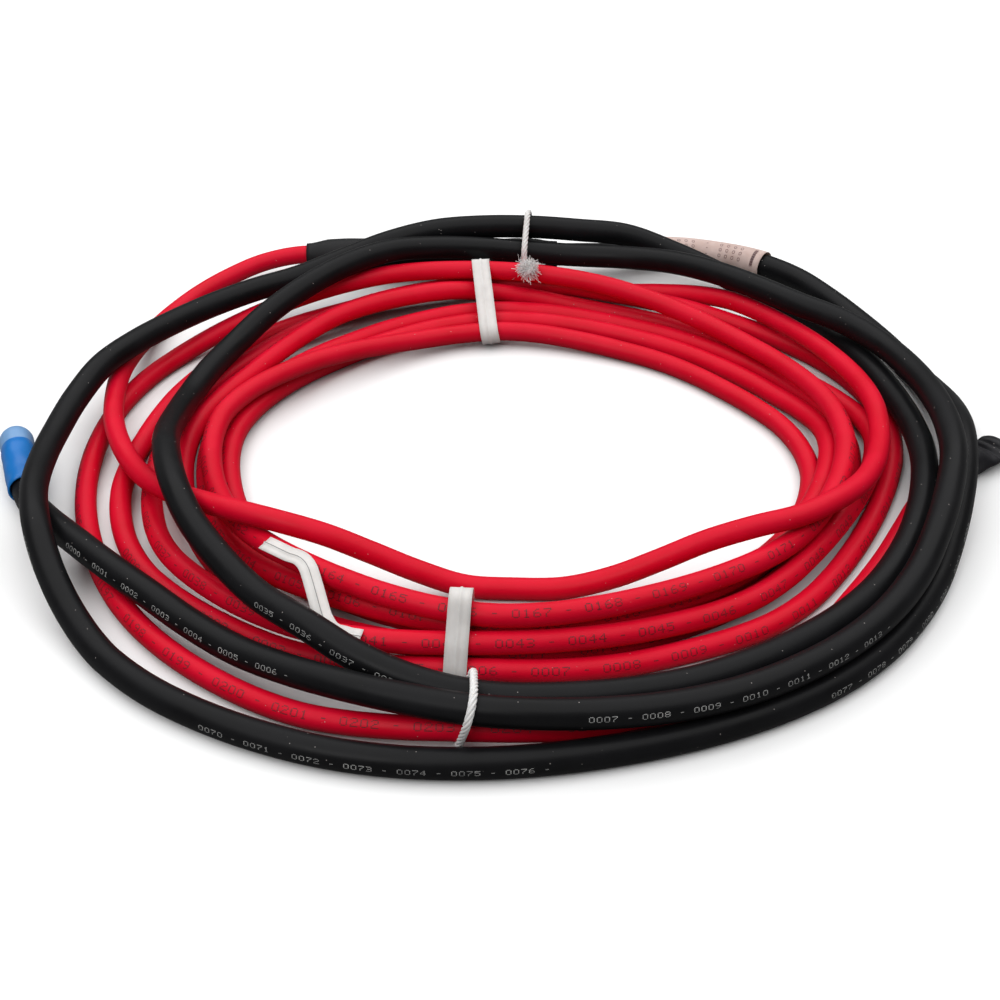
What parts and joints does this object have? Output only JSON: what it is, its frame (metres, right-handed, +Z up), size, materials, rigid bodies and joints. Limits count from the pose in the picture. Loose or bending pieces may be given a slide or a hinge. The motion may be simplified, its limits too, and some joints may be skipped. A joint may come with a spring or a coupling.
{
  "type": "underfloor heating cable",
  "caption": "Loose coil of red underfloor heating cable spliced to a thicker black cold lead, with a splice sleeve, end seal, blue lead cap, wrapped label, paper ties and cotton strings.",
  "frame": {"origin": "on the floor, under the middle of the coil's footprint", "axes": "+Z up from the floor, +X along the coil's longest width, with the end seal at +X, the lead cap at -X and the splice sleeve at +Y"},
  "size_m": [0.3409, 0.3032, 0.0314],
  "materials": {
    "red_sheath": "satin smooth extruded sheath",
    "black_sheath": "satin extruded sheath with fine scuffs",
    "shrink_sleeve": "dull heat-shrunk tube",
    "pressed_seal": "satin heat-shrunk seal with pressed ribs",
    "blue_cap": "glossy heat-shrunk cap",
    "label_paper": "matt printed paper",
    "tie_paper": "matt paper with a wire in its middle",
    "cotton_string": "soft loosely twisted cotton"
  },
  "bodies": {
    "root": {"heating_cable": "red_sheath", "cold_lead": "black_sheath", "splice_sleeve": "shrink_sleeve", "end_seal": "pressed_seal", "lead_end_cap": "blue_cap", "lead_label": "label_paper", "tie_back": "tie_paper", "tie_front": "tie_paper", "string_back": "cotton_string", "string_front": "cotton_string"}
  },
  "joints": []
}
